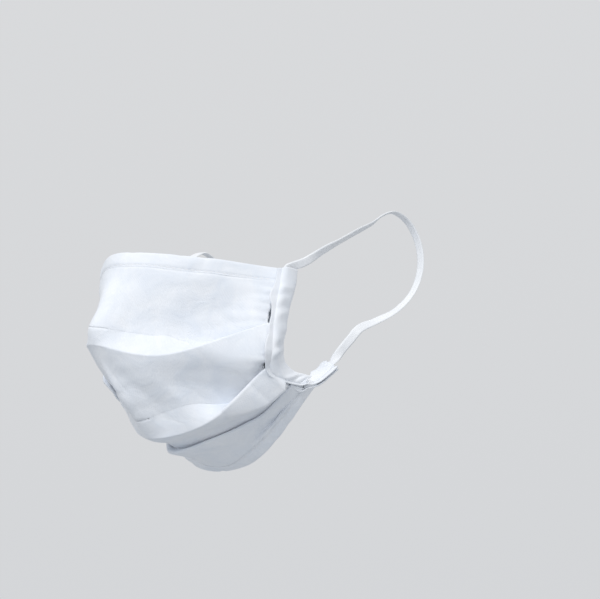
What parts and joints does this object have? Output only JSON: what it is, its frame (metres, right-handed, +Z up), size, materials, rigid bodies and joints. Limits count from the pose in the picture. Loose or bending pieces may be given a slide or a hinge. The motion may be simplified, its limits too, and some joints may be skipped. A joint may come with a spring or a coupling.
{
  "type": "cloth face mask",
  "caption": "Pleated cotton face mask in its worn form, with hemmed edges, a side casing and a flat elastic loop at each ear.",
  "frame": {"origin": "where the inner face of the top hem sits on the bridge of the nose, at the middle of the hem", "axes": "+X to the wearer's left, -Y forward out of the face, +Z up; the mask is cut and sewn symmetric across X = 0, and its worn pleats sit a few millimetres askew"},
  "size_m": [0.1512, 0.1461, 0.1248],
  "materials": {
    "panel_cotton": "plain-weave white cotton, matt",
    "hem_cotton": "plain-weave white cotton, folded and top-stitched",
    "casing_cotton": "plain-weave white cotton, gathered on the elastic",
    "flat_elastic": "white flat woven elastic, slight sheen"
  },
  "bodies": {
    "root": {"pleated_panel": "panel_cotton", "top_hem": "hem_cotton", "bottom_hem": "hem_cotton", "side_casing_left": "casing_cotton", "side_casing_right": "casing_cotton", "ear_loop_left": "flat_elastic", "ear_loop_right": "flat_elastic"}
  },
  "joints": []
}
